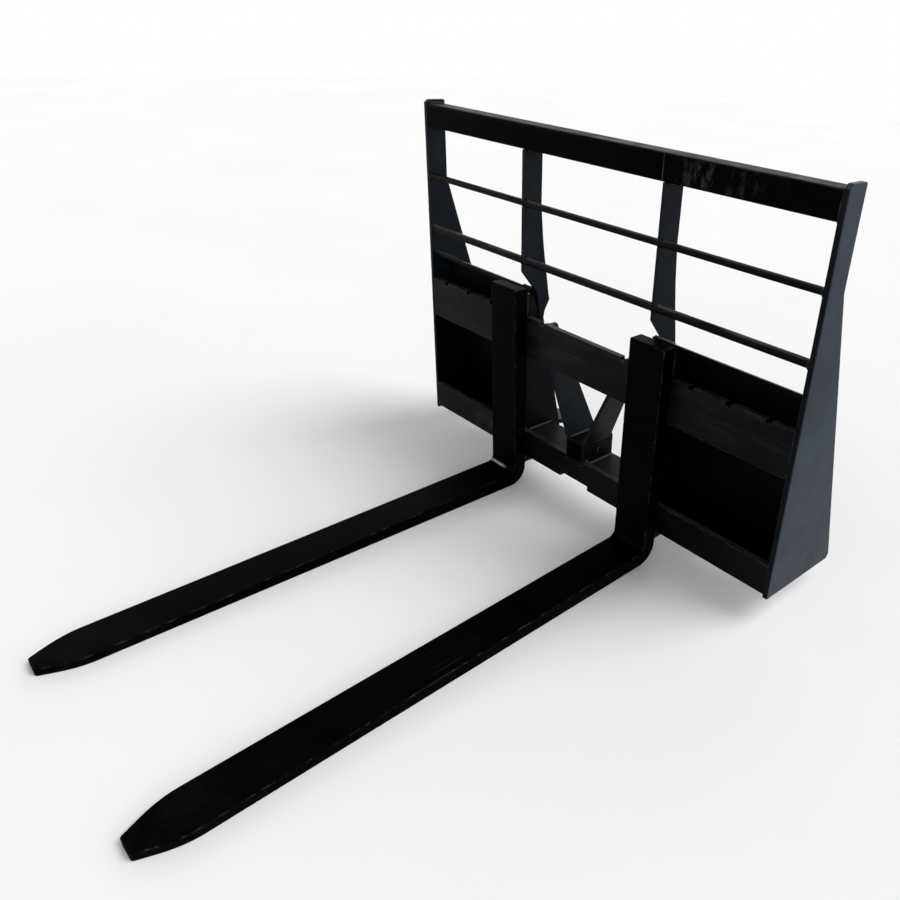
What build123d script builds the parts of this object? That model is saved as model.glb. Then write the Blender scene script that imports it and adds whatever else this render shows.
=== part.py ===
"""Pallet fork attachment: a welded carriage frame with a loader coupler, a hitch receiver and two sliding forks.

Millimetres.  X runs across the frame, the forks point to -Y, Z is up.  The part stands on its fork blades.
Profiles are drawn in carriage coordinates: u is the distance behind the front face of the fork bars, and
v is the height above a datum plane close to the underside of the lower fork bar.
"""
from build123d import *
import os
from math import hypot

os.makedirs("parts", exist_ok=True)

# ---------------------------------------------------------------- frame
bar_length = 1219.2              # fork bars, rail and rods, between the side plates
side_plate_thickness = 12.7
bar_thickness = 15.9
carriage_height = 407.0          # class II: underside of the lower bar to the top of the upper bar
upper_bar_height = 111.5
lower_bar_height = 76.2
bar_foot = -5.2                  # underside of the lower bar

rail_size = 57.15
rail_wall = 4.8
rail_corner = 8.0
rail_top = 863.8
rod_fit = 0.2                    # room around each rod in its notch
rod_setback = 9.7                # rod centre behind the bar front
rods = {"lower_guard_rod": (542.0, 9.5), "upper_guard_rod": (683.0, 7.95)}     # height and radius

plate_bottom = -13.0
plate_top = 873.0
plate_top_depth = 58.0
plate_kink = 675.0               # the rear edge slopes back below this height
plate_rear = (263.5, -13.0)
plate_heel = (255.0, -25.0)
plate_front_radius = 4.0         # rounded outer front edge

upright_thickness = 9.5
upright_offset = 218.4           # centre of each upright from the middle
upright_bottom = 20.0

# ---------------------------------------------------------------- loader coupler
coupler_top = (71.4, 382.0)      # two points on the rear plane that the loader's coupler bears on
coupler_bottom = (141.4, 53.0)
coupler_plate_thickness = 9.5
lip_thickness = 9.5
lip_front = (2.0, 480.5)         # upper front edge of the top lip
lip_rear = (93.0, 438.6)         # upper rear edge of the top lip
lip_nose = (2.5, 7.0)            # blunt front of the top lip, and how far its bevel runs back
flange_thickness = 12.7
flange_rear = (235.0, 23.0)      # upper rear edge of the lock flange
lock_slot = (92.0, 34.0)         # across and front to back
lock_slot_inset = 118.0          # slot centre from the side plate
lock_slot_place = 0.56           # slot centre along the flange

# ---------------------------------------------------------------- hitch receiver and its braces
floor_top = 60.0
floor_depth = 113.5
floor_thickness = 9.5
tube_size = 63.5
tube_bore = 50.8                 # 2 in hitch receiver
tube_corner = 6.0
tube_length = 108.0
hitch_pin_radius = 8.15
hitch_pin_setback = 58.0
brace_thickness = 9.5
brace_foot = 29.0                # middle of each brace at the top of the tube
brace_lean = 0.455               # sideways run for each unit of height
brace_top = 389.0
brace_rear_foot = 98.0
brace_rear_top = 58.0

# ---------------------------------------------------------------- forks
fork_width = 100.0
fork_thickness = 38.1
blade_length = 1150.0
blade_drop = 48.0                # load face below the lower bar
fork_top = 478.0
face_gap = 1.2                   # fork shank to bar front
toe_out = 0.7                    # degrees that each fork turns outward in the play of its hooks
heel_outer_radius = 50.0
heel_inner_radius = 18.0
tip_thickness = 17.0
tip_taper = 100.0
tip_width = 42.0
fork_offset = 243.8              # centre of each fork from the middle

notch_first = 142.2              # first pair of notches from the middle
notch_pitch = 101.6
notch_pairs = 5
notch_width = 15.0
notch_depth = 10.0
notch_corner = 4.5
entry_notch = (104.0, 13.7)      # lets the lower hooks onto the lower bar

hook_width = 95.0
hook_gap = 1.2                   # hook lip behind the bar
hook_seat = 0.3                  # hook above or below the bar edge
hook_lip = 15.6
hook_depth = bar_thickness + hook_gap + hook_lip
upper_hook_front = 467.0         # the upper hook rises against the shank
upper_hook_crest = (20.0, 454.0)
upper_hook_rear = 418.0
upper_hook_reach = 12.0          # lip overlap on the bar
latch_well = (-12.0, 27.0)       # sideways reach of the latch well in the upper hook
latch_well_floor = 434.0
lower_hook_bottom = -27.0
lower_hook_reach = 7.5

# ---------------------------------------------------------------- fork latch, drawn in its raised position
latch_depth = 8.5                # pin axis behind the bar front
latch_radius = 5.5
latch_clearance = 0.15
latch_lift = 2.0                 # raised pin tip above the bar
latch_shoulder = 449.0
latch_neck_radius = 4.0
latch_head = 455.5
handle_thickness = 5.0
handle_left = 9.0
handle_right = 24.0
handle_front = 0.6
handle_rear = 30.0
chamber_radius = 8.0
chamber_floor = 414.0
collar_radius = 7.7
collar_thickness = 3.0
collar_bottom = 425.2
cap_size = (22.0, 24.0)
cap_thickness = 3.0
spring_radius = 6.9
wire_radius = 0.6
spring_pitch = 1.6

# ---------------------------------------------------------------- derived places
heel_bottom = -(blade_drop + fork_thickness)
reach = face_gap + fork_thickness + blade_length
carriage_y = (reach - plate_rear[0]) / 2
half_bar = bar_length / 2
bar_head = bar_foot + carriage_height
upper_bar_bottom = bar_head - upper_bar_height
lower_bar_top = bar_foot + lower_bar_height
tube_top = floor_top + tube_size
rear_slope = (coupler_bottom[0] - coupler_top[0]) / (coupler_top[1] - coupler_bottom[1])
lip_slope = (lip_rear[1] - lip_front[1]) / (lip_rear[0] - lip_front[0])
lip_scale = hypot(1, lip_slope)
flange_slope = (flange_rear[1] - coupler_bottom[1]) / (flange_rear[0] - coupler_bottom[0])
sides = {"left": -1, "right": 1}


def across(x):
    """Plane square to X, with u to the rear and v up."""
    return Plane(origin=(x, carriage_y, -heel_bottom), x_dir=(0, 1, 0), z_dir=(1, 0, 0))


def facing(u):
    """Plane square to Y seen from the front, with X to the right and v up."""
    return Plane(origin=(0, carriage_y + u, -heel_bottom), x_dir=(1, 0, 0), z_dir=(0, -1, 0))


def level(v):
    """Horizontal plane, with X to the right and u to the rear."""
    return Plane(origin=(0, carriage_y, v - heel_bottom))


def rear_plane(v):
    """Depth of the coupler's rear plane."""
    return coupler_top[0] + (coupler_top[1] - v) * rear_slope


def lip_underside(u):
    """Height of the top lip's lower face."""
    return lip_front[1] + (u - lip_front[0]) * lip_slope - lip_thickness * lip_scale


def flange_height(u):
    """Height of the lock flange's upper face."""
    return coupler_bottom[1] + (u - coupler_bottom[0]) * flange_slope


def meeting_point(offset, height_of, slope):
    """Where a line parallel to the coupler's rear plane meets a sloping face."""
    height = height_of(rear_plane(0) + offset) / (1 + slope * rear_slope)
    return (rear_plane(height) + offset, height)


def toed(part, side_sign):
    """The part turned outward about the latch pin of its fork."""
    pin_axis = Axis((side_sign * fork_offset, carriage_y + latch_depth, 0), (0, 0, 1))
    return part.rotate(pin_axis, side_sign * toe_out)


def save(part, name):
    part.label = name
    export_step(part, f"parts/{name}.step")


# ---------------------------------------------------------------- side plates
for side, sign in sides.items():
    outer = sign * (half_bar + side_plate_thickness)
    with BuildPart() as side_plate:
        with BuildSketch(across(outer)):
            with BuildLine():
                Polyline(
                    (0, plate_bottom),
                    (0, plate_top - 8),
                    (12, plate_top),
                    (plate_top_depth, plate_top),
                    (plate_top_depth, plate_kink),
                    plate_rear,
                    plate_heel,
                    close=True,
                )
            make_face()
            fillet(vertices().sort_by_distance((plate_top_depth, plate_top))[0], 4)
            fillet(vertices().sort_by_distance((plate_top_depth, plate_kink))[0], 45)
        extrude(amount=-sign * side_plate_thickness)
        front_edges = side_plate.edges().filter_by(Axis.Z).group_by(Axis.Y)[0]
        outer_front = front_edges.sort_by(lambda edge: sign * edge.center().X)[-1]
        chamfer(side_plate.faces().filter_by(Axis.X).edges() - [outer_front], 0.7)
        outer_front = side_plate.edges().filter_by(Axis.Z).sort_by_distance(outer_front.center())[0]
        fillet(outer_front, plate_front_radius)
    save(side_plate.part, f"{side}_side_plate")

# ---------------------------------------------------------------- top rail
with BuildPart() as top_rail:
    with BuildSketch(across(-half_bar)):
        with Locations((rail_size / 2, rail_top - rail_size / 2)):
            RectangleRounded(rail_size, rail_size, rail_corner)
            inner_size = rail_size - 2 * rail_wall
            RectangleRounded(inner_size, inner_size, rail_corner - rail_wall, mode=Mode.SUBTRACT)
    extrude(amount=bar_length)
save(top_rail.part, "top_rail")

# ---------------------------------------------------------------- guard rods
for name, (height, radius) in rods.items():
    with BuildPart() as guard_rod:
        with BuildSketch(across(-half_bar)):
            with Locations((rod_setback, height)):
                Circle(radius)
        extrude(amount=bar_length)
    save(guard_rod.part, name)

# ---------------------------------------------------------------- uprights
for side, sign in sides.items():
    with BuildPart() as upright:
        with BuildSketch(across(sign * upright_offset)):
            with BuildLine():
                Polyline(
                    (0, rail_top - rail_size),
                    (0, 515),
                    (46, 458),
                    (52.7, 419),
                    (60.7, 376),
                    (bar_thickness, 364),
                    (bar_thickness, upright_bottom),
                    (rear_plane(upright_bottom), upright_bottom),
                    coupler_top,
                    (74.4, 398),
                    (79, 408),
                    (91, 428),
                    (87.5, 442),
                    (78.5, 497.5),
                    (71.5, 538),
                    (64, 590),
                    (55.7, 677),
                    (55.7, rail_top - rail_size),
                    close=True,
                )
            make_face()
            fillet(vertices().sort_by_distance((46, 458))[0], 10)
            fillet(vertices().sort_by_distance((55.7, 677))[0], 60)
            fillet(vertices().sort_by_distance((91, 428))[0], 3)
            for height, radius in rods.values():
                with Locations((rod_setback, height)):
                    Circle(radius + rod_fit, mode=Mode.SUBTRACT)
                with Locations((rod_setback / 2, height)):
                    Rectangle(rod_setback, 2 * (radius + rod_fit), mode=Mode.SUBTRACT)
        extrude(amount=upright_thickness / 2, both=True)
    save(upright.part, f"{side}_upright")

# ---------------------------------------------------------------- fork bars
with BuildPart() as upper_fork_bar:
    with BuildSketch(facing(0)):
        with Locations((0, bar_head - upper_bar_height / 2)):
            Rectangle(bar_length, upper_bar_height)
    extrude(amount=-bar_thickness)
    chamfer(upper_fork_bar.edges().filter_by(Axis.X), 0.8)
    with BuildSketch(facing(0)):
        for index in range(notch_pairs):
            notch_place = notch_first + index * notch_pitch
            with Locations((-notch_place, bar_head), (notch_place, bar_head)):
                Rectangle(notch_width, 2 * notch_depth)
        fillet(vertices().group_by(Axis.Y)[0], notch_corner)
    extrude(amount=-bar_thickness, mode=Mode.SUBTRACT)
save(upper_fork_bar.part, "upper_fork_bar")

with BuildPart() as lower_fork_bar:
    with BuildSketch(facing(0)):
        with Locations((0, bar_foot + lower_bar_height / 2)):
            Rectangle(bar_length, lower_bar_height)
    extrude(amount=-bar_thickness)
    chamfer(lower_fork_bar.edges().filter_by(Axis.X), 0.8)
    with BuildSketch(facing(0)):
        with Locations((0, lower_bar_top)):
            Rectangle(tube_size, 2 * (lower_bar_top - floor_top))
        with Locations((0, bar_foot)):
            Rectangle(entry_notch[0], 2 * entry_notch[1])
    extrude(amount=-bar_thickness, mode=Mode.SUBTRACT)
save(lower_fork_bar.part, "lower_fork_bar")

# ---------------------------------------------------------------- coupler plates, top lips and lock flanges
bay_inner = upright_offset + upright_thickness / 2
bay_width = half_bar - bay_inner
plate_offset = -coupler_plate_thickness * hypot(1, rear_slope)
flange_front = coupler_bottom[0] + plate_offset - 4

for side, sign in sides.items():
    bay_start = across(sign * bay_inner)
    with BuildPart() as coupler_plate:
        with BuildSketch(bay_start):
            with BuildLine():
                Polyline(
                    meeting_point(0, lip_underside, lip_slope),
                    meeting_point(0, flange_height, flange_slope),
                    meeting_point(plate_offset, flange_height, flange_slope),
                    meeting_point(plate_offset, lip_underside, lip_slope),
                    close=True,
                )
            make_face()
        extrude(amount=sign * bay_width)
    save(coupler_plate.part, f"{side}_coupler_plate")

    with BuildPart() as top_lip:
        with BuildSketch(bay_start):
            with BuildLine():
                Polyline(
                    lip_front,
                    lip_rear,
                    (lip_rear[0] + lip_thickness * lip_slope / lip_scale, lip_rear[1] - lip_thickness / lip_scale),
                    (lip_front[0] + lip_nose[1], lip_underside(lip_front[0] + lip_nose[1])),
                    (lip_front[0], lip_front[1] - lip_nose[0]),
                    close=True,
                )
            make_face()
        extrude(amount=sign * bay_width)
    save(top_lip.part, f"{side}_top_lip")

    with BuildPart() as lock_flange:
        slot_depth = flange_front + lock_slot_place * (flange_rear[0] - flange_front)
        flange_lean = flange_thickness * hypot(1, flange_slope)
        with BuildSketch(bay_start):
            with BuildLine():
                Polyline(
                    (flange_front, flange_height(flange_front)),
                    flange_rear,
                    (flange_rear[0], flange_rear[1] - flange_lean),
                    (flange_front, flange_height(flange_front) - flange_lean),
                    close=True,
                )
            make_face()
        extrude(amount=sign * bay_width)
        slot_origin = level(flange_height(slot_depth)).from_local_coords((0, slot_depth, 0))
        slot_plane = Plane(origin=slot_origin, x_dir=(1, 0, 0), z_dir=(0, -flange_slope, 1))
        with BuildSketch(slot_plane):
            with Locations((sign * (half_bar - lock_slot_inset), 0)):
                RectangleRounded(lock_slot[0], lock_slot[1], 5)
        extrude(amount=-1.5 * flange_thickness, mode=Mode.SUBTRACT)
    save(lock_flange.part, f"{side}_lock_flange")

# ---------------------------------------------------------------- floor plates, receiver tube and its braces
with BuildPart() as floor_plate:
    with BuildSketch(level(floor_top)):
        with Locations((0, (bar_thickness + floor_depth) / 2)):
            Rectangle(2 * upright_offset - upright_thickness, floor_depth - bar_thickness)
    extrude(amount=-floor_thickness)
save(floor_plate.part, "floor_plate")

for side, sign in sides.items():
    with BuildPart() as bay_floor:
        with BuildSketch(level(floor_top)):
            with Locations((sign * (bay_inner + half_bar) / 2, (bar_thickness + flange_front) / 2)):
                Rectangle(bay_width, flange_front - bar_thickness)
        extrude(amount=-floor_thickness)
    save(bay_floor.part, f"{side}_bay_floor")

with BuildPart() as receiver_tube:
    with BuildSketch(facing(0)):
        with Locations((0, floor_top + tube_size / 2)):
            RectangleRounded(tube_size, tube_size, tube_corner)
            RectangleRounded(tube_bore, tube_bore, 1.5, mode=Mode.SUBTRACT)
    extrude(amount=-tube_length)
    with BuildSketch(across(-tube_size / 2)):
        with Locations((hitch_pin_setback, floor_top + tube_size / 2)):
            Circle(hitch_pin_radius)
    extrude(amount=tube_size, mode=Mode.SUBTRACT)
save(receiver_tube.part, "receiver_tube")

for side, sign in sides.items():
    half_strip = brace_thickness / 2 * hypot(1, brace_lean)
    brace_head = brace_foot + brace_lean * (brace_top - tube_top)
    with BuildPart() as brace:
        with BuildSketch(facing(0)):
            with BuildLine():
                Polyline(
                    (sign * (brace_foot - half_strip), tube_top),
                    (sign * (brace_foot + half_strip), tube_top),
                    (sign * (brace_head + half_strip), brace_top),
                    (sign * (brace_head - half_strip), brace_top),
                    close=True,
                )
            make_face()
        extrude(amount=-brace_rear_foot)
        with BuildSketch(across(0)):
            with BuildLine():
                Polyline(
                    (0, tube_top),
                    (0, upper_bar_bottom),
                    (bar_thickness, upper_bar_bottom),
                    (bar_thickness, brace_top),
                    (brace_rear_top, brace_top),
                    (brace_rear_foot, tube_top),
                    close=True,
                )
            make_face()
        extrude(amount=upright_offset, both=True, mode=Mode.INTERSECT)
    save(brace.part, f"{side}_brace")

# ---------------------------------------------------------------- forks with their hooks and latches
for side, sign in sides.items():
    middle = sign * fork_offset
    front = -(face_gap + fork_thickness)
    with BuildPart() as fork:
        with BuildSketch(across(middle - fork_width / 2)):
            with BuildLine():
                Polyline(
                    (-face_gap, fork_top),
                    (-face_gap, heel_bottom),
                    (-reach, heel_bottom),
                    (-reach, heel_bottom + tip_thickness),
                    (front, -blade_drop),
                    (front, fork_top),
                    close=True,
                )
            make_face()
            fillet(vertices().sort_by_distance((-face_gap, heel_bottom))[0], heel_outer_radius)
            fillet(vertices().sort_by_distance((front, -blade_drop))[0], heel_inner_radius)
            chamfer(vertices().group_by(Axis.Y)[-1], 2)
        extrude(amount=fork_width)
        with BuildSketch(level(heel_bottom)):
            with BuildLine():
                shoulder = fork_width / 2
                Polyline(
                    (middle + shoulder, tip_taper - reach),
                    (middle + shoulder, 0),
                    (middle - shoulder, 0),
                    (middle - shoulder, tip_taper - reach),
                )
                for turn in (-1, 1):
                    Bezier(
                        (middle + turn * shoulder, tip_taper - reach),
                        (middle + turn * shoulder, 0.58 * tip_taper - reach),
                        (middle + turn * (tip_width / 2 + 12), 0.3 * tip_taper - reach),
                        (middle + turn * tip_width / 2, -reach),
                    )
                Line((middle - tip_width / 2, -reach), (middle + tip_width / 2, -reach))
            make_face()
            fillet(vertices().group_by(Axis.Y)[0], 7)
        extrude(amount=fork_top - heel_bottom, mode=Mode.INTERSECT)
        chamfer(fork.faces().filter_by(Axis.X).edges(), 1.2)
    save(toed(fork.part, sign), f"{side}_fork")

    hook_start = across(middle - hook_width / 2)
    hook_reach = hook_depth - hook_lip
    with BuildPart() as upper_hook:
        with BuildSketch(hook_start):
            with BuildLine():
                Polyline(
                    (-face_gap, bar_head + hook_seat),
                    (hook_reach, bar_head + hook_seat),
                    (hook_reach, bar_head - upper_hook_reach),
                    (hook_depth, bar_head - upper_hook_reach),
                    (hook_depth, upper_hook_rear),
                    upper_hook_crest,
                    (-face_gap, upper_hook_front),
                    close=True,
                )
            make_face()
            fillet(vertices().sort_by_distance(upper_hook_crest)[0], 12)
        extrude(amount=hook_width)
        with BuildSketch(level(latch_well_floor)):
            with Locations((middle + (latch_well[0] + latch_well[1]) / 2, hook_depth / 2)):
                Rectangle(latch_well[1] - latch_well[0], 2 * hook_depth)
        extrude(amount=upper_hook_front - latch_well_floor, mode=Mode.SUBTRACT)
        with BuildSketch(level(latch_well_floor)):
            with Locations((middle, latch_depth)):
                Circle(chamber_radius)
        extrude(amount=chamber_floor - latch_well_floor, mode=Mode.SUBTRACT)
        with BuildSketch(level(latch_well_floor)):
            with Locations((middle, latch_depth)):
                Circle(latch_radius + latch_clearance)
        extrude(amount=bar_head - latch_well_floor, mode=Mode.SUBTRACT)
    save(toed(upper_hook.part, sign), f"{side}_upper_hook")

    with BuildPart() as lower_hook:
        with BuildSketch(hook_start):
            with BuildLine():
                Polyline(
                    (-face_gap, bar_foot - hook_seat),
                    (hook_reach, bar_foot - hook_seat),
                    (hook_reach, lower_hook_reach),
                    (hook_depth, lower_hook_reach),
                    (hook_depth, lower_hook_bottom),
                    (-face_gap, lower_hook_bottom),
                    close=True,
                )
            make_face()
            chamfer(vertices().sort_by_distance((hook_depth, lower_hook_bottom))[0], 5)
        extrude(amount=hook_width)
    save(toed(lower_hook.part, sign), f"{side}_lower_hook")

    with BuildPart() as latch_cap:
        with BuildSketch(level(latch_well_floor)):
            with Locations((middle, latch_depth + cap_size[1] / 2 - chamber_radius)):
                RectangleRounded(cap_size[0], cap_size[1], 3)
            with Locations((middle, latch_depth)):
                Circle(latch_radius + latch_clearance, mode=Mode.SUBTRACT)
        extrude(amount=cap_thickness)
    save(toed(latch_cap.part, sign), f"{side}_latch_cap")

    with BuildPart() as latch_spring:
        spring_floor = collar_bottom + collar_thickness + wire_radius + 0.1
        spring_rise = latch_well_floor - wire_radius - 0.1 - spring_floor
        coil_origin = level(spring_floor).from_local_coords((middle, latch_depth, 0))
        with BuildLine(Plane(coil_origin)) as coil:
            Helix(spring_pitch, spring_rise, spring_radius)
        with BuildSketch(coil.line ^ 0):
            Circle(wire_radius)
        sweep()
    save(toed(latch_spring.part, sign), f"{side}_latch_spring")

    with BuildPart() as latch_pin:
        axis_origin = level(0).from_local_coords((middle, latch_depth, 0))
        latch_tip = bar_head + latch_lift
        with BuildSketch(Plane(origin=axis_origin, x_dir=(1, 0, 0), z_dir=(0, -1, 0))):
            with BuildLine():
                Polyline(
                    (0, latch_tip),
                    (latch_radius - 1, latch_tip),
                    (latch_radius, latch_tip + 1.5),
                    (latch_radius, collar_bottom),
                    (collar_radius, collar_bottom),
                    (collar_radius, collar_bottom + collar_thickness),
                    (latch_radius, collar_bottom + collar_thickness),
                    (latch_radius, latch_shoulder),
                    (latch_neck_radius, latch_shoulder),
                    (latch_neck_radius, latch_head),
                    (0, latch_head),
                    close=True,
                )
            make_face()
        revolve(axis=Axis(axis_origin, (0, 0, 1)))
    save(toed(latch_pin.part, sign), f"{side}_latch_pin")

    with BuildPart() as latch_handle:
        handle_length = handle_left + handle_right
        handle_middle = middle + (handle_right - handle_left) / 2
        with BuildSketch(level(latch_shoulder)):
            with Locations((handle_middle, (handle_front + handle_rear) / 2)):
                RectangleRounded(handle_length, handle_rear - handle_front, 4)
            with Locations((middle, latch_depth)):
                Circle(latch_neck_radius + 0.05, mode=Mode.SUBTRACT)
        extrude(amount=handle_thickness)
        chamfer(latch_handle.faces().sort_by(Axis.Z)[-1].outer_wire().edges(), 1)
    save(toed(latch_handle.part, sign), f"{side}_latch_handle")
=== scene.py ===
"""Looks for the pallet fork attachment: black paint, weld beads, wear, and the studio around it."""

import math
import random

import bmesh
import bpy
from mathutils import Euler, Matrix, Vector


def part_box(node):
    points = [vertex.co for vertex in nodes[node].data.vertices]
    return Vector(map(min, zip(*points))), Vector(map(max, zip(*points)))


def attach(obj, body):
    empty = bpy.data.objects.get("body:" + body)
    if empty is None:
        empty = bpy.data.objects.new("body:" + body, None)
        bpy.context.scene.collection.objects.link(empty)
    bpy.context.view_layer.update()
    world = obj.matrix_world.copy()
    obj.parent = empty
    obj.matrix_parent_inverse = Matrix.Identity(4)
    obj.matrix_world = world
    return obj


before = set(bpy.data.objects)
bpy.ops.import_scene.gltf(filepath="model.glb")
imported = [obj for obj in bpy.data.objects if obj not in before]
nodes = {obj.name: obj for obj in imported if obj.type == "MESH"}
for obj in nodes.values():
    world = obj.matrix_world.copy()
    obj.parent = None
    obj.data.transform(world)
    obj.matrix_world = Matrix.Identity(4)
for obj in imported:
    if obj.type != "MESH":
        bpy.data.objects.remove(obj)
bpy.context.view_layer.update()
random.seed(7)


# ---------------------------------------------------------------- node helpers
class Graph:
    """A short way to write a material's node tree."""

    def __init__(self, name):
        self.material = bpy.data.materials.new(name)
        self.material.use_nodes = True
        self.tree = self.material.node_tree
        self.tree.nodes.clear()
        self.shader = self.add("ShaderNodeBsdfPrincipled")
        output = self.add("ShaderNodeOutputMaterial")
        self.link(self.shader.outputs["BSDF"], output.inputs["Surface"])
        self.place = self.add("ShaderNodeNewGeometry").outputs["Position"]

    def add(self, kind, **settings):
        node = self.tree.nodes.new(kind)
        for key, value in settings.items():
            setattr(node, key, value)
        return node

    def link(self, source, target):
        self.tree.links.new(source, target)

    def feed(self, socket, value):
        if isinstance(value, bpy.types.NodeSocket):
            self.link(value, socket)
        else:
            socket.default_value = value

    def noise(self, scale, detail=4.0, rough=0.55, vector=None):
        node = self.add("ShaderNodeTexNoise")
        self.feed(node.inputs["Vector"], vector or self.place)
        node.inputs["Scale"].default_value = scale
        node.inputs["Detail"].default_value = detail
        node.inputs["Roughness"].default_value = rough
        return node.outputs["Fac"]

    def stretch(self, scale):
        node = self.add("ShaderNodeMapping")
        self.link(self.place, node.inputs["Vector"])
        node.inputs["Scale"].default_value = scale
        return node.outputs["Vector"]

    def ramp(self, value, low, high, first=0.0, last=1.0):
        node = self.add("ShaderNodeMapRange", clamp=True)
        self.feed(node.inputs["Value"], value)
        node.inputs["From Min"].default_value = low
        node.inputs["From Max"].default_value = high
        node.inputs["To Min"].default_value = first
        node.inputs["To Max"].default_value = last
        return node.outputs["Result"]

    def math(self, operation, a, b=0.0):
        node = self.add("ShaderNodeMath", operation=operation)
        self.feed(node.inputs[0], a)
        self.feed(node.inputs[1], b)
        return node.outputs["Value"]

    def times(self, first, *others):
        """The product of sockets and numbers."""
        for other in others:
            first = self.math("MULTIPLY", first, other)
        return first

    def mix(self, factor, first, second):
        node = self.add("ShaderNodeMix", data_type="RGBA")
        self.feed(node.inputs["Factor"], factor)
        self.feed(node.inputs["A"], first)
        self.feed(node.inputs["B"], second)
        return node.outputs["Result"]

    def parts(self, vector):
        """The X, Y and Z of a vector socket."""
        node = self.add("ShaderNodeSeparateXYZ")
        self.link(vector, node.inputs["Vector"])
        return node.outputs

    def bump(self, height, strength, distance, normal=None):
        node = self.add("ShaderNodeBump")
        self.link(height, node.inputs["Height"])
        node.inputs["Strength"].default_value = strength
        node.inputs["Distance"].default_value = distance
        if normal:
            self.link(normal, node.inputs["Normal"])
        return node.outputs["Normal"]

    def edges(self, radius):
        """1 on sharp convex or concave edges, 0 on flat faces."""
        bevel = self.add("ShaderNodeBevel", samples=6)
        bevel.inputs["Radius"].default_value = radius
        plain = self.add("ShaderNodeNewGeometry").outputs["Normal"]
        dot = self.add("ShaderNodeVectorMath", operation="DOT_PRODUCT")
        self.link(bevel.outputs["Normal"], dot.inputs[0])
        self.link(plain, dot.inputs[1])
        return self.ramp(dot.outputs["Value"], 0.995, 0.90)


def finish_shader(graph, color, roughness, normal, metallic=0.0, reflection=0.5):
    inputs = graph.shader.inputs
    graph.feed(inputs["Base Color"], color)
    graph.feed(inputs["Roughness"], roughness)
    graph.feed(inputs["Metallic"], metallic)
    inputs["Specular IOR Level"].default_value = reflection
    graph.link(normal, inputs["Normal"])


def black_paint(name, paint, gloss=0.36, wear=0.5, dust=0.3, grain=(90.0, 2.0, 90.0), marks=None,
                reflection=None):
    """Sprayed black enamel: orange peel, dust film, fine scratches, chips along the edges."""
    g = Graph(name)
    cloud = g.noise(3.2, 5.0, 0.6)
    mottle = g.noise(38.0, 3.0)
    light = tuple(c * 1.7 + 0.0002 for c in paint[:3]) + (1.0,)
    base = g.mix(g.ramp(cloud, 0.35, 0.7), paint, light)
    film_and_highlight = g.math("MULTIPLY", g.ramp(cloud, 0.45, 0.75), g.ramp(mottle, 0.3, 0.8))
    base = g.mix(g.math("MULTIPLY", film_and_highlight, dust), base, DUST)
    streak = g.noise(1.0, 2.0, 0.5, g.stretch(grain))
    scratch = g.ramp(streak, 0.70, 0.74)
    scratch = g.math("MULTIPLY", scratch, g.ramp(g.noise(5.0, 3.0), 0.5, 0.62))
    base = g.mix(g.math("MULTIPLY", scratch, 0.5), base, SCRATCHED)
    rough = g.ramp(g.noise(22.0, 4.0), 0.25, 0.8, gloss - 0.06, gloss + 0.12)
    rough = g.math("ADD", rough, g.math("MULTIPLY", film_and_highlight, 0.12))
    if marks:
        base, rough = marks(g, base, rough)
    chip_noise = g.noise(55.0, 6.0, 0.7)
    chipped = g.ramp(chip_noise, 0.62 - 0.2 * wear, 0.72 - 0.2 * wear)
    edge = g.math("MULTIPLY", g.edges(0.0022), chipped)
    base = g.mix(g.math("MULTIPLY", edge, wear), base, BARE_EDGE)
    peel = g.bump(g.noise(420.0, 2.0), 0.10, 0.0006)
    wave = g.bump(g.noise(9.0, 2.0), 0.12, 0.003, peel)
    dents = g.bump(scratch, 0.25, -0.0004, wave)
    finish_shader(g, base, rough, dents, reflection=reflection or PAINT_REFLECTION)
    return g.material


def rail_marks(g, base, rough):
    """Scraped paint on the rail's front beyond the right upright, a film on its top and a thin pale
    vertical line on its front.
    """
    place, facing = g.parts(g.place), g.parts(g.add("ShaderNodeNewGeometry").outputs["Normal"])
    reach = g.math("MULTIPLY", g.ramp(place["X"], 0.23, 0.28), g.ramp(place["X"], 0.52, 0.38))
    ragged = g.ramp(g.noise(1.0, 6.0, 0.75, g.stretch((60.0, 20.0, 22.0))), 0.50, 0.62)
    ragged = g.math("MULTIPLY", ragged, g.ramp(g.noise(9.0, 3.0), 0.42, 0.56))
    scraped = g.math("MULTIPLY", g.math("MULTIPLY", reach, ragged), g.ramp(facing["Y"], -0.5, -0.9))
    base = g.mix(g.math("MULTIPLY", scraped, 0.8), base, SCRAPED_PAINT)
    film_and_highlight = g.math("MULTIPLY", g.ramp(facing["Z"], 0.6, 0.95), g.ramp(g.noise(6.0, 5.0, 0.65), 0.34, 0.60))
    base = g.mix(g.math("MULTIPLY", film_and_highlight, 0.7), base, WEATHERED)
    # A thin pale vertical line on the rail's front, 3 mm left of the right upright.
    off = g.math("ABSOLUTE", g.math("SUBTRACT", place["X"], PALE_LINE_X))
    run = g.math("MULTIPLY", g.ramp(off, 0.0014, 0.0006), g.ramp(facing["Y"], -0.5, -0.9))
    run = g.math("MULTIPLY", run, g.ramp(g.noise(24.0, 3.0), 0.40, 0.55))
    base = g.mix(g.math("MULTIPLY", run, 0.8), base, PALE_LINE_TONE)
    return base, g.math("ADD", rough, g.math("MULTIPLY", g.math("MAXIMUM", scraped, film_and_highlight), 0.12))


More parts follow.
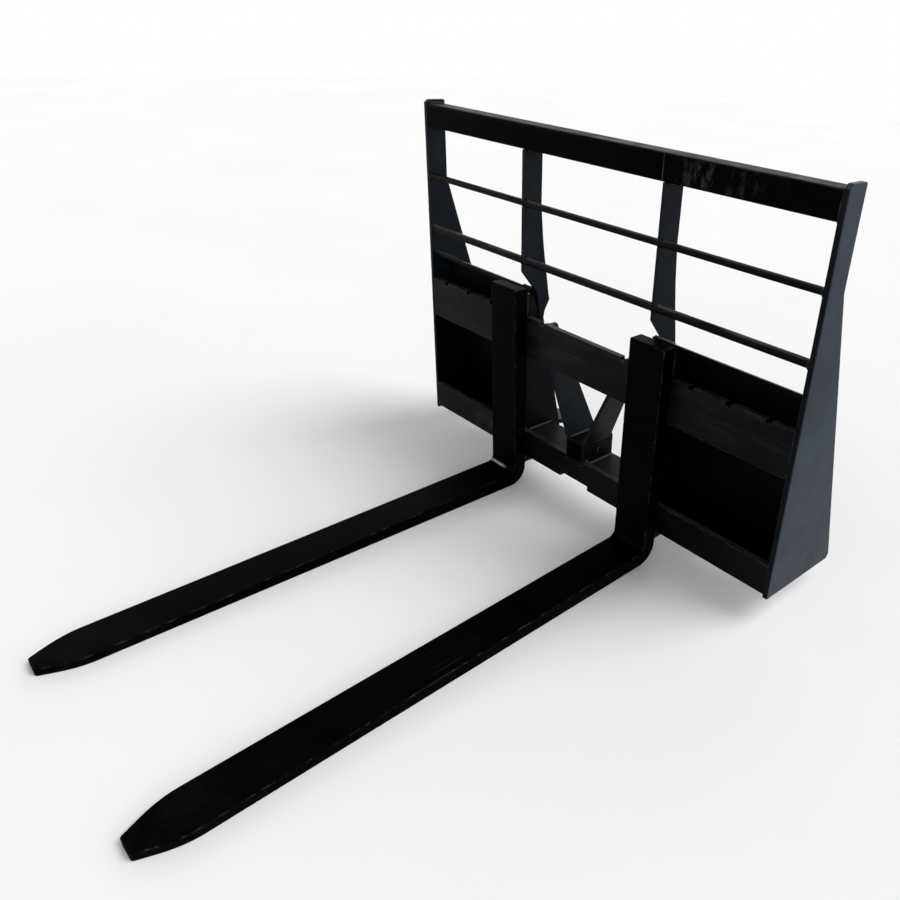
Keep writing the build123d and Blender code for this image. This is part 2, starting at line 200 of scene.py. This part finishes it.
def bar_marks(g, base, rough):
    """Rubbed faces, pale tops that are partly paint worn by the hooks and partly a painted highlight,
    painted shade on the lower bar's front from the left fork rightwards, and a little rust and green film
    beside the left fork.
    """
    place, facing = g.parts(g.place), g.parts(g.add("ShaderNodeNewGeometry").outputs["Normal"])
    front = g.ramp(facing["Y"], -0.5, -0.9)
    rubbed = g.ramp(g.noise(1.0, 5.0, 0.65, g.stretch((3.0, 24.0, 24.0))), 0.50, 0.68)
    base = g.mix(g.times(rubbed, front, 0.45), base, RUBBED_PAINT)
    # Pale upward-facing faces: partly paint worn by the riding hooks, partly a painted highlight from the
    # overhead light.
    worn_and_lit_top = g.ramp(g.noise(1.0, 5.0, 0.7, g.stretch((9.0, 40.0, 9.0))), 0.34, 0.56)
    worn_and_lit_top = g.math("MULTIPLY", g.ramp(facing["Z"], 0.6, 0.95), worn_and_lit_top)
    base = g.mix(g.math("MULTIPLY", worn_and_lit_top, 0.45), base, WORN_AND_LIT_TOP)
    # Painted shade: the lower bar's front goes near black from the left fork rightwards, most towards the
    # bottom.
    shaded_lower_bar = g.times(g.ramp(place["X"], -0.26, -0.18), g.ramp(place["Z"], BAR_FILM_AND_SHADE_TOP + 0.10, BAR_FILM_AND_SHADE_TOP))
    base = g.mix(g.times(shaded_lower_bar, front, 0.8), base, PANEL_PAINT)
    near = g.math("MULTIPLY", g.ramp(place["X"], -0.46, -0.40), g.ramp(place["X"], -0.20, -0.29))
    low_down = g.ramp(place["Z"], BAR_FILM_AND_SHADE_TOP + 0.02, BAR_FILM_AND_SHADE_TOP)
    patch = g.times(near, low_down, g.ramp(g.noise(20.0, 4.0, 0.6), 0.42, 0.60))
    hue = g.mix(g.ramp(place["X"], -0.37, -0.33), GREEN_FILM, RUST_FILM)
    base = g.mix(g.math("MULTIPLY", patch, 0.6), base, hue)
    return base, g.math("ADD", rough, g.math("MULTIPLY", g.math("MAXIMUM", patch, rubbed), 0.10))


def plate_marks(g, base, rough):
    """Pale smudges and dark flecks on the right side plate's outer face, with painted shade that makes its
    front-facing face near black.
    """
    place, facing = g.parts(g.place), g.parts(g.add("ShaderNodeNewGeometry").outputs["Normal"])
    smudge = g.ramp(g.noise(9.0, 6.0, 0.68), 0.46, 0.66)
    foot = g.ramp(place["Z"], BAR_FOOT + 0.50, BAR_FOOT, 0.25, 1.0)
    base = g.mix(g.times(smudge, foot, 0.75), base, SMUDGE)
    fleck = g.ramp(g.noise(75.0, 5.0, 0.7), 0.60, 0.68)
    base = g.mix(g.times(fleck, foot, 0.55), base, FLECK)
    # Painted shade: the plate's front-facing face is painted near black.
    front = g.ramp(facing["Y"], -0.55, -0.90)
    base = g.mix(g.math("MULTIPLY", front, 0.92), base, PANEL_PAINT)
    return base, g.math("ADD", rough, g.math("MULTIPLY", smudge, 0.10))


def post_painted_shade(g, base, rough):
    """Painted shade: darker paint on the uprights and the left plate below the top of the upper bar."""
    place = g.parts(g.place)
    # Painted shade, strongest below the top of the upper bar.
    shade_below_bar = g.ramp(place["Z"], BAR_HEAD + 0.03, BAR_HEAD - 0.06)
    base = g.mix(g.math("MULTIPLY", shade_below_bar, 0.85), base, PANEL_PAINT)
    return base, rough


def rod_highlight_marks(g, base, rough):
    """A pale patchy line along the top of the guard rods: a painted highlight where they catch the overhead
    light.
    """
    facing = g.parts(g.add("ShaderNodeNewGeometry").outputs["Normal"])
    patchy = g.ramp(g.noise(1.0, 5.0, 0.65, g.stretch((7.0, 60.0, 60.0))), 0.34, 0.58)
    # Painted highlight on the upward-facing side of the rods.
    film_and_highlight = g.times(g.ramp(facing["Z"], 0.55, 0.88), patchy)
    base = g.mix(g.math("MULTIPLY", film_and_highlight, 0.8), base, ROD_TOP_HIGHLIGHT)
    return base, g.math("ADD", rough, g.math("MULTIPLY", film_and_highlight, 0.10))


def worn_fork(name, paint):
    """Fork paint, greyer and rougher towards the tips, with rub marks along the blades."""
    g = Graph(name)
    cloud = g.noise(4.0, 5.0, 0.6)
    rub = g.noise(1.0, 4.0, 0.6, g.stretch((60.0, 1.6, 60.0)))
    place, facing = g.parts(g.place), g.parts(g.add("ShaderNodeNewGeometry").outputs["Normal"])
    tip = g.ramp(place["Y"], TIP_END + 0.30, TIP_END)
    up = g.ramp(facing["Z"], 0.6, 0.95)
    light = tuple(c * 1.8 + 0.0002 for c in paint[:3]) + (1.0,)
    base = g.mix(g.ramp(cloud, 0.35, 0.7), paint, light)
    film_and_highlight = g.math("MULTIPLY", g.ramp(rub, 0.42, 0.7), g.math("MULTIPLY", up, g.ramp(cloud, 0.3, 0.65)))
    base = g.mix(g.math("MULTIPLY", film_and_highlight, 0.3), base, BLADE_FILM)
    smear = g.math("MULTIPLY", tip, g.ramp(g.noise(14.0, 5.0, 0.65), 0.40, 0.62))
    base = g.mix(g.math("MULTIPLY", smear, 0.35), base, TIP_SMEAR)
    # Painted highlight: a pale line across the left fork's inner heel radius, where the bend catches the
    # light.
    heel_highlight = g.times(g.ramp(place["Z"], HEEL_TOP + 0.0020, HEEL_TOP + 0.0035),
                   g.ramp(place["Z"], HEEL_TOP + 0.0085, HEEL_TOP + 0.0065),
                   g.ramp(place["Y"], SHANK_FRONT - 0.022, SHANK_FRONT - 0.018),
                   g.ramp(g.noise(1.0, 3.0, 0.6, g.stretch((12.0, 40.0, 40.0))), 0.40, 0.50),
                   g.ramp(place["X"], -0.225, -0.245))
    base = g.mix(g.math("MULTIPLY", heel_highlight, 0.9), base, HEEL_HIGHLIGHT_TONE)
    streak = g.noise(1.0, 2.0, 0.5, g.stretch((240.0, 3.0, 240.0)))
    scratch = g.math("MULTIPLY", g.ramp(streak, 0.68, 0.73), g.ramp(g.noise(3.0, 3.0), 0.45, 0.6))
    base = g.mix(g.math("MULTIPLY", scratch, 0.22), base, SCRATCHED)
    edge = g.math("MULTIPLY", g.edges(0.0025), g.ramp(g.noise(40.0, 6.0, 0.7), 0.50, 0.62))
    base = g.mix(g.math("MULTIPLY", edge, 0.7), base, BARE_EDGE)
    rough = g.ramp(g.noise(18.0, 4.0), 0.25, 0.8, 0.36, 0.54)
    rough = g.math("ADD", rough, g.math("MULTIPLY", smear, 0.15))
    peel = g.bump(g.noise(300.0, 3.0), 0.14, 0.0007)
    scale = g.bump(g.noise(26.0, 5.0, 0.6), 0.22, 0.0016, peel)
    dents = g.bump(scratch, 0.30, -0.0004, scale)
    finish_shader(g, base, rough, dents, reflection=FORK_REFLECTION)
    return g.material


def bright_steel(name, tint, gloss):
    """Zinc plated or drawn steel, dulled and stained."""
    g = Graph(name)
    stain = g.noise(160.0, 5.0, 0.65)
    base = g.mix(g.ramp(stain, 0.38, 0.68), tint, tuple(c * 0.35 for c in tint[:3]) + (1.0,))
    rust = g.math("MULTIPLY", g.ramp(g.noise(420.0, 4.0), 0.62, 0.72), 0.6)
    base = g.mix(rust, base, STEEL_RUST)
    rough = g.ramp(stain, 0.3, 0.7, gloss, gloss + 0.25)
    turned = g.bump(g.noise(1.0, 2.0, 0.5, g.stretch((40.0, 40.0, 2600.0))), 0.25, 0.0002)
    finish_shader(g, base, rough, turned, metallic=0.9)
    return g.material


def weld_paint(name, paint):
    """Painted weld metal: glossier crests, a little spatter colour between the ripples."""
    g = Graph(name)
    fleck = g.noise(240.0, 4.0, 0.7)
    base = g.mix(g.ramp(fleck, 0.52, 0.70), paint, SPATTER)
    rust = g.math("MULTIPLY", g.ramp(g.noise(70.0, 5.0), 0.60, 0.70), 0.5)
    base = g.mix(rust, base, WELD_RUST)
    rough = g.ramp(fleck, 0.3, 0.7, 0.24, 0.40)
    finish_shader(g, base, rough, g.bump(fleck, 0.35, 0.0006), reflection=0.12)
    return g.material


# ---------------------------------------------------------------- places read from the frame
def low(node):
    return Vector(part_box(node)[0])


def high(node):
    return Vector(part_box(node)[1])


TIP_END = low("left_fork").y
BAR_FRONT = low("upper_fork_bar").y
BAR_REAR = high("upper_fork_bar").y
BAR_FILM_AND_SHADE_TOP = low("lower_fork_bar").z + 0.045
BAR_FOOT = low("lower_fork_bar").z
BAR_HEAD = high("upper_fork_bar").z
FORK_THICKNESS = 0.0381
HEEL_TOP = low("left_fork").z + FORK_THICKNESS
SHANK_FRONT = high("left_fork").y - FORK_THICKNESS
PALE_LINE_X = low("right_upright").x - 0.003

# ---------------------------------------------------------------- colours
FRAME_PAINT = (0.0018, 0.0020, 0.0025, 1.0)
# Painted light: the right side plate's black paint is made much lighter and bluish for the cool light on
# its outer face.
LIT_PLATE_PAINT = (0.0190, 0.0240, 0.0320, 1.0)
UPRIGHT_PAINT = (0.0030, 0.0042, 0.0062, 1.0)
RAIL_PAINT = (0.0003, 0.0003, 0.0005, 1.0)
FLOOR_PAINT = (0.0050, 0.0050, 0.0053, 1.0)
BRACE_PAINT = (0.0016, 0.0027, 0.0038, 1.0)
FORK_PAINT = (0.0003, 0.0003, 0.0004, 1.0)
# Painted shade: a darker copy of the frame's black paint for the coupler plates, lips and the other parts
# without a paint of their own; the painted shade marks darken to it, and the rods use it as their base.
PANEL_PAINT = (0.0006, 0.0007, 0.0009, 1.0)
DUST = (0.020, 0.021, 0.023, 1.0)
SCRATCHED = (0.045, 0.045, 0.047, 1.0)
BARE_EDGE = (0.075, 0.073, 0.070, 1.0)
SCRAPED_PAINT = (0.026, 0.024, 0.023, 1.0)
WEATHERED = (0.034, 0.033, 0.029, 1.0)
PALE_LINE_TONE = (0.045, 0.044, 0.042, 1.0)
RUBBED_PAINT = (0.014, 0.014, 0.015, 1.0)
# Pale bar tops: worn paint and painted highlight.
WORN_AND_LIT_TOP = (0.055, 0.054, 0.052, 1.0)
GREEN_FILM = (0.012, 0.020, 0.010, 1.0)
RUST_FILM = (0.050, 0.022, 0.010, 1.0)
SMUDGE = (0.042, 0.044, 0.046, 1.0)
FLECK = (0.0070, 0.0080, 0.0095, 1.0)
# Painted highlight colour for the tops of the guard rods.
ROD_TOP_HIGHLIGHT = (0.060, 0.060, 0.056, 1.0)
BLADE_FILM = (0.0022, 0.0023, 0.0026, 1.0)
TIP_SMEAR = (0.0080, 0.0082, 0.0086, 1.0)
# Painted highlight colour for the left fork's heel.
HEEL_HIGHLIGHT_TONE = (0.24, 0.235, 0.22, 1.0)
STEEL_RUST = (0.12, 0.055, 0.025, 1.0)
SPATTER = (0.020, 0.020, 0.022, 1.0)
WELD_RUST = (0.040, 0.022, 0.012, 1.0)
ZINC = (0.46, 0.45, 0.42, 1.0)
WIRE = (0.30, 0.30, 0.31, 1.0)
PAPER_DARK = (0.80, 0.80, 0.80, 1.0)
PAPER_LIGHT = (0.83, 0.83, 0.83, 1.0)
PAINT_REFLECTION = 0.035
FORK_REFLECTION = 0.010

paints = {
    "plate": black_paint("side_plate_paint", LIT_PLATE_PAINT, 0.38, 0.5, 0.5, marks=plate_marks),
    "upright": black_paint("upright_paint", UPRIGHT_PAINT, 0.40, 0.4, 0.3, marks=post_painted_shade),
    "brace": black_paint("brace_paint", BRACE_PAINT, gloss=0.40, wear=0.4, dust=0.15),
    "rail": black_paint("rail_paint", RAIL_PAINT, 0.34, 0.7, 0.05, (2.0, 90.0, 90.0), rail_marks, 0.008),
    "bar": black_paint("bar_paint", FRAME_PAINT, 0.36, 0.75, 0.25, (2.0, 90.0, 90.0), bar_marks),
    "rod": black_paint("rod_paint", PANEL_PAINT, 0.36, 0.6, 0.15, (2.0, 90.0, 90.0), rod_highlight_marks),
    "floor": black_paint("floor_plate_paint", FLOOR_PAINT, gloss=0.42, wear=0.4, dust=0.3),
    "panel": black_paint("panel_paint", PANEL_PAINT, gloss=0.42, wear=0.12, dust=0.08),
    "fork": worn_fork("fork_paint_worn", FORK_PAINT),
    "hook": black_paint("hook_paint", FORK_PAINT, gloss=0.38, wear=0.6, dust=0.3),
    "zinc": bright_steel("latch_zinc", ZINC, 0.30),
    "wire": bright_steel("spring_wire", WIRE, 0.28),
    "weld": weld_paint("weld_paint", FRAME_PAINT),
}


# the first word found in a node's name picks its paint; the right side plate gets the lit, bluish copy of
# the black paint and the left side plate the darker upright paint, as painted light and painted shade
NODE_PAINTS = (
    ("right_side_plate", "plate"), ("side_plate", "upright"), ("upright", "upright"), ("brace", "brace"),
    ("floor_plate", "floor"), ("rail", "rail"), ("fork_bar", "bar"), ("rod", "rod"), ("hook", "hook"),
    ("cap", "hook"), ("spring", "wire"), ("latch", "zinc"), ("_fork", "fork"))


def node_paint(name):
    for key, paint in NODE_PAINTS:
        if key in name:
            return paints[paint]
    return paints["panel"]


for name, part in nodes.items():
    for place in part.material_slots:
        place.material = node_paint(name)


# ---------------------------------------------------------------- weld beads
def bead(shape, start, end, leg_a, leg_b, size=0.006, ends=True):
    """A rippled fillet weld from start to end, in the corner between the faces along leg_a and leg_b."""
    start, end = Vector(start), Vector(end)
    leg_a, leg_b = Vector(leg_a).normalized(), Vector(leg_b).normalized()
    along = end - start
    length = along.length
    steps = max(4, int(length / RIPPLE_STEP))
    phase = random.random() * RIPPLE
    rings = []
    for i in range(steps + 1):
        at = length * i / steps
        wave = ((at + phase) % RIPPLE) / RIPPLE
        grow = 0.86 + 0.20 * math.sqrt(max(0.0, 1.0 - wave)) + 0.08 * (random.random() - 0.5)
        taper = min(1.0, (min(at, length - at) + 0.0015) / (0.8 * size)) if ends else 1.0
        r = size * grow * math.sqrt(taper)
        center = start + along * (i / steps)
        ring = [shape.verts.new(center - (leg_a + leg_b) * BURIED)]
        for k in range(ARC_POINTS + 1):
            t = k / ARC_POINTS
            bulge = 1.0 + 0.42 * math.sin(math.pi * t)
            point = (leg_a * (1 - t) + leg_b * t) * r * bulge
            if k == 0:
                point -= leg_b * BURIED
            if k == ARC_POINTS:
                point -= leg_a * BURIED
            ring.append(shape.verts.new(center + point))
        rings.append(ring)
    count = ARC_POINTS + 2
    for first, second in zip(rings, rings[1:]):
        for k in range(count):
            n = (k + 1) % count
            shape.faces.new((first[k], first[n], second[n], second[k]))
    shape.faces.new(list(reversed(rings[0])))
    shape.faces.new(rings[-1])


def weld_object(name, body, runs):
    """One mesh of weld beads that rides on a body."""
    shape = bmesh.new()
    for run in runs:
        bead(shape, *run)
    bmesh.ops.recalc_face_normals(shape, faces=shape.faces)
    mesh = bpy.data.meshes.new(name)
    shape.to_mesh(mesh)
    shape.free()
    for face in mesh.polygons:
        face.use_smooth = True
    mesh.materials.append(paints["weld"])
    thing = bpy.data.objects.new(name, mesh)
    bpy.context.collection.objects.link(thing)
    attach(thing, body)


RIPPLE = 0.0042
RIPPLE_STEP = 0.0014
ARC_POINTS = 5
BURIED = 0.0004
PLATE_BEAD = 0.006
THIN_BEAD = 0.005
TUBE_BEAD = 0.007
ROD_BEAD = 0.0035
ROD_TACK = 0.003
HOOK_BEAD = 0.0032
RAIL_CORNER = 0.006
HOOK_RELIEF = 0.048
X, Y, Z = Vector((1, 0, 0)), Vector((0, 1, 0)), Vector((0, 0, 1))


def ring_runs(center, radius, axis_sign, size, points=14):
    """A round bead where a rod meets a plate."""
    runs = []
    for i in range(points):
        a, b = 2 * math.pi * i / points, 2 * math.pi * (i + 1) / points
        one = Vector((0, math.cos(a), math.sin(a)))
        two = Vector((0, math.cos(b), math.sin(b)))
        out = (one + two).normalized()
        runs.append((center + one * radius, center + two * radius, out, X * axis_sign, size, False))
    return runs


def carriage_welds():
    inner = high("upper_fork_bar").x
    tube_low, tube_high = low("receiver_tube"), high("receiver_tube")
    floor_low, floor_high = low("floor_plate"), high("floor_plate")
    upper_low, upper_high = low("upper_fork_bar"), high("upper_fork_bar")
    lower_low, lower_high = low("lower_fork_bar"), high("lower_fork_bar")
    rail_low, rail_high = low("top_rail"), high("top_rail")
    bars, rails, rods, coupler, receiver = [], [], [], [], []
    for side, sign in (("left", -1), ("right", 1)):
        plate = sign * inner
        inward = X * -sign
        for start, end in ((upper_low.z, upper_high.z), (lower_low.z, lower_high.z)):
            bars.append(((plate, BAR_REAR, start), (plate, BAR_REAR, end), inward, Y, PLATE_BEAD))
        front, rear = rail_low.y + RAIL_CORNER, rail_high.y - RAIL_CORNER
        bottom, top = rail_low.z + RAIL_CORNER, rail_high.z - RAIL_CORNER
        rails += [((plate, front, rail_low.z), (plate, rear, rail_low.z), inward, -Z, THIN_BEAD),
                  ((plate, rail_high.y, bottom), (plate, rail_high.y, top), inward, Y, THIN_BEAD),
                  ((plate, front, rail_high.z), (plate, rear, rail_high.z), inward, Z, THIN_BEAD)]
        post_low, post_high = low(f"{side}_upright"), high(f"{side}_upright")
        for face, out in ((post_low.x, -X), (post_high.x, X)):
            rails.append(((face, rail_low.y + 0.007, rail_low.z), (face, rail_high.y - 0.007, rail_low.z),
                          out, -Z, THIN_BEAD))
            for start, end in ((upper_low.z + 0.004, upper_high.z - HOOK_RELIEF),
                               (lower_low.z + 0.024, lower_high.z - 0.003)):
                bars.append(((face, BAR_REAR, start), (face, BAR_REAR, end), out, Y, PLATE_BEAD))
        for rod in ("upper_guard_rod", "lower_guard_rod"):
            rod_low, rod_high = low(rod), high(rod)
            radius = (rod_high.z - rod_low.z) / 2
            middle = (rod_low + rod_high) / 2
            rods += ring_runs(Vector((plate, middle.y, middle.z)), radius, -sign, ROD_BEAD)
            for face, out in ((post_low.x, -1), (post_high.x, 1)):
                ring = ring_runs(Vector((face, middle.y, middle.z)), radius, out, ROD_TACK)
                rods += ring[1:6] + ring[8:13]
        lip_low, lip_high = low(f"{side}_top_lip"), high(f"{side}_top_lip")
        lean = Vector((0, lip_high.y - lip_low.y - 0.004, lip_low.z - lip_high.z + 0.009))
        up = Vector((0, -lean.z, lean.y)).normalized()
        bay_post = post_high.x if sign > 0 else post_low.x
        for face, out in ((plate, inward), (bay_post, -inward)):
            begin = Vector((face, lip_low.y, lip_high.z)) + lean * 0.08
            finish = Vector((face, lip_low.y, lip_high.z)) + lean * 0.95
            coupler.append((begin, finish, out, up, THIN_BEAD))
        foot_y = high(f"{side}_coupler_plate").y
        coupler_normal = Vector((0, COUPLER_STEP[1], COUPLER_STEP[0])).normalized()
        bottom_z = coupler_foot_height(side)
        top_z = bottom_z + COUPLER_STEP[1]
        for face, out in ((plate, inward), (bay_post, -inward)):
            coupler.append(((face, foot_y - COUPLER_STEP[0], top_z), (face, foot_y, bottom_z), out,
                            coupler_normal, PLATE_BEAD))
        coupler.append(((bay_post, foot_y, bottom_z), (plate, foot_y, bottom_z),
                        coupler_normal, Vector((0, -COUPLER_STEP[0], COUPLER_STEP[1])), PLATE_BEAD))
    tube_top = tube_high.z
    for sign, edge in ((-1, tube_low.x), (1, tube_high.x)):
        receiver.append(((edge, BAR_REAR + 0.002, floor_high.z), (edge, tube_high.y - 0.003, floor_high.z),
                         X * sign, Z, TUBE_BEAD))
        receiver.append(((edge, BAR_FRONT + 0.002, lower_high.z), (edge, BAR_REAR, lower_high.z),
                         X * sign, Z, PLATE_BEAD))
        receiver.append(((edge, BAR_REAR, floor_high.z), (edge, BAR_REAR, lower_high.z),
                         X * sign, Y, PLATE_BEAD))
    for near, far in ((floor_low.x, tube_low.x), (tube_high.x, floor_high.x)):
        receiver.append(((near + 0.004, BAR_REAR, floor_high.z), (far - 0.004, BAR_REAR, floor_high.z),
                         Y, Z, PLATE_BEAD))
    for edge, out in ((floor_low.x, X), (floor_high.x, -X)):
        receiver.append(((edge, BAR_REAR + 0.006, floor_high.z), (edge, floor_high.y - 0.004, floor_high.z),
                         out, Z, PLATE_BEAD))
    for side, sign in (("left", -1), ("right", 1)):
        brace_low, brace_high = low(f"{side}_brace"), high(f"{side}_brace")
        top_outer = brace_high.x if sign > 0 else brace_low.x
        foot_inner = brace_low.x if sign > 0 else brace_high.x
        run = abs(top_outer - foot_inner) - BRACE_STRIP
        rise = brace_high.z - brace_low.z
        tilt = Vector((sign * run, 0, rise)).normalized()
        front, rear = BAR_FRONT + 0.003, brace_high.y - 0.003
        receiver.append(((foot_inner, front, tube_top), (foot_inner, rear, tube_top),
                         X * -sign, tilt, PLATE_BEAD))
        foot_outer = foot_inner + sign * BRACE_STRIP
        shoulder = foot_outer - sign * 0.0025
        receiver.append(((shoulder, front, tube_top + 0.0002), (shoulder, rear, tube_top + 0.0002),
                         tilt, Vector((sign * 0.3, 0, -1)), THIN_BEAD))
        for offset, out in ((0.0, -sign), (BRACE_STRIP, sign)):
            ends = []
            for height in (upper_low.z, brace_high.z - 0.004):
                shift = offset + run * (height - brace_low.z) / rise
                ends.append(Vector((foot_inner + sign * shift, BAR_REAR, height)))
            bars.append((ends[0], ends[1], X * out, Y, THIN_BEAD))
    weld_object("welds_bars", "carriage", bars)
    weld_object("welds_rail", "carriage", rails)
    weld_object("welds_rods", "carriage", rods)
    weld_object("welds_coupler", "carriage", coupler)
    weld_object("welds_receiver", "carriage", receiver)


def coupler_foot_height(side):
    """Height where the coupler plate's rear face meets the flange: the plate's lowest rear corner."""
    mesh = nodes[f"{side}_coupler_plate"].data
    rear = max(v.co.y for v in mesh.vertices)
    return min(v.co.z for v in mesh.vertices if v.co.y > rear - 0.0005)


def coupler_step(side):
    """Run back and fall of the coupler plate's rear face from its top edge to its foot."""
    mesh = nodes[f"{side}_coupler_plate"].data
    rear = max(v.co.y for v in mesh.vertices)
    foot = min(v.co.z for v in mesh.vertices if v.co.y > rear - 0.0005)
    drop = max(v.co.z for v in mesh.vertices) - foot
    head = max(v.co.y for v in mesh.vertices if v.co.z > foot + drop * 0.9)
    head_z = max(v.co.z for v in mesh.vertices if abs(v.co.y - head) < 0.0005)
    return rear - head, head_z - foot


COUPLER_STEP = coupler_step("left")
BRACE_STRIP = 0.01044


def fork_welds(side, sign):
    """Beads around the hooks on the back of a fork's shank, which is turned outward about its latch pin."""
    runs = []
    pin = (low(f"{side}_latch_pin") + high(f"{side}_latch_pin")) / 2
    turn = Matrix.Rotation(sign * TOE_OUT, 3, "Z")
    for hook in ("upper_hook", "lower_hook"):
        lower, upper = low(f"{side}_{hook}"), high(f"{side}_{hook}")
        foot, head = lower.z, BAR_FOOT - 0.003
        if hook == "upper_hook":
            foot, head = lower.z + 0.02, upper.z
        for out in (-X, X):
            corner = pin + turn @ (out * HOOK_HALF - Y * PIN_TO_SHANK)
            start, end = (corner.x, corner.y, foot), (corner.x, corner.y, head)
            runs.append((start, end, turn @ out, turn @ Y, HOOK_BEAD))
    weld_object(f"{side}_fork_welds", f"{side}_fork_body", runs)


TOE_OUT = math.radians(0.7)
HOOK_HALF = 0.0475
PIN_TO_SHANK = 0.0097

carriage_welds()
fork_welds("left", -1)
fork_welds("right", 1)


# ---------------------------------------------------------------- studio
def floor():
    mesh = bpy.data.meshes.new("floor")
    shape = bmesh.new()
    bmesh.ops.create_grid(shape, x_segments=1, y_segments=1, size=12.0)
    shape.to_mesh(mesh)
    shape.free()
    plane = bpy.data.objects.new("floor", mesh)
    bpy.context.collection.objects.link(plane)
    g = Graph("floor_paper")
    tone = g.mix(g.ramp(g.noise(0.8, 3.0), 0.3, 0.7), PAPER_DARK, PAPER_LIGHT)
    finish_shader(g, tone, 0.85, g.bump(g.noise(60.0, 2.0), 0.02, 0.001))
    mesh.materials.append(g.material)


def sun(name, toward, spread, power, color):
    """A broad distant lamp: toward points from the object to the lamp, spread is in degrees."""
    lamp = bpy.data.lights.new(name, "SUN")
    lamp.energy = power
    lamp.angle = math.radians(spread)
    lamp.color = color
    thing = bpy.data.objects.new(name, lamp)
    thing.rotation_euler = Vector(toward).to_track_quat("Z", "Y").to_euler()
    bpy.context.collection.objects.link(thing)


def surround():
    """White studio walls that fade into a dark ceiling, with plain white behind the object."""
    world = bpy.data.worlds.new("studio")
    world.use_nodes = True
    tree = world.node_tree
    direction = tree.nodes.new("ShaderNodeNewGeometry")
    height = tree.nodes.new("ShaderNodeSeparateXYZ")
    tree.links.new(direction.outputs["Position"], height.inputs["Vector"])
    walls = tree.nodes.new("ShaderNodeMapRange")
    walls.interpolation_type = "SMOOTHSTEP"
    tree.links.new(height.outputs["Z"], walls.inputs["Value"])
    walls.inputs["From Min"].default_value = WALL_TOP[0]
    walls.inputs["From Max"].default_value = WALL_TOP[1]
    walls.inputs["To Min"].default_value = WALL_LIGHT
    walls.inputs["To Max"].default_value = CEILING_LIGHT
    seen = tree.nodes.new("ShaderNodeLightPath")
    pick = tree.nodes.new("ShaderNodeMix")
    tree.links.new(seen.outputs["Is Camera Ray"], pick.inputs["Factor"])
    tree.links.new(walls.outputs["Result"], pick.inputs["A"])
    pick.inputs["B"].default_value = 1.0
    tree.links.new(pick.outputs["Result"], tree.nodes["Background"].inputs["Strength"])
    tree.nodes["Background"].inputs["Color"].default_value = (0.99, 0.995, 1.0, 1.0)
    bpy.context.scene.world = world


WALL_TOP = (0.36, 0.62)
WALL_LIGHT = 2.2
CEILING_LIGHT = 0.10
LAMP_TOWARD = (0.60, 0.45, 1.0)
LAMP_SPREAD = 40.0
LAMP_POWER = 2.2
LAMP_COLOR = (1.0, 0.995, 0.99)
SENSOR_WIDTH = 36.0
LENS = 31.47
LENS_SHIFT = (-0.1757, -0.0053)
CAMERA_PLACE = (1.2722, -0.8037, 1.1810)
CAMERA_TURN = (1.07052, -0.063603, 0.774382)


def studio():
    floor()
    surround()
    sun("overhead", LAMP_TOWARD, LAMP_SPREAD, LAMP_POWER, LAMP_COLOR)
    bpy.context.scene.view_settings.view_transform = "Standard"


def camera():
    data = bpy.data.cameras.new("camera")
    data.lens = LENS
    data.sensor_width = SENSOR_WIDTH
    data.shift_x, data.shift_y = LENS_SHIFT
    data.clip_end = 60.0
    thing = bpy.data.objects.new("camera", data)
    thing.location = CAMERA_PLACE
    thing.rotation_euler = Euler(CAMERA_TURN, "XYZ")
    bpy.context.collection.objects.link(thing)
    bpy.context.scene.camera = thing


studio()
camera()


def plain(box):
    return [list(map(float, corner)) for corner in box]
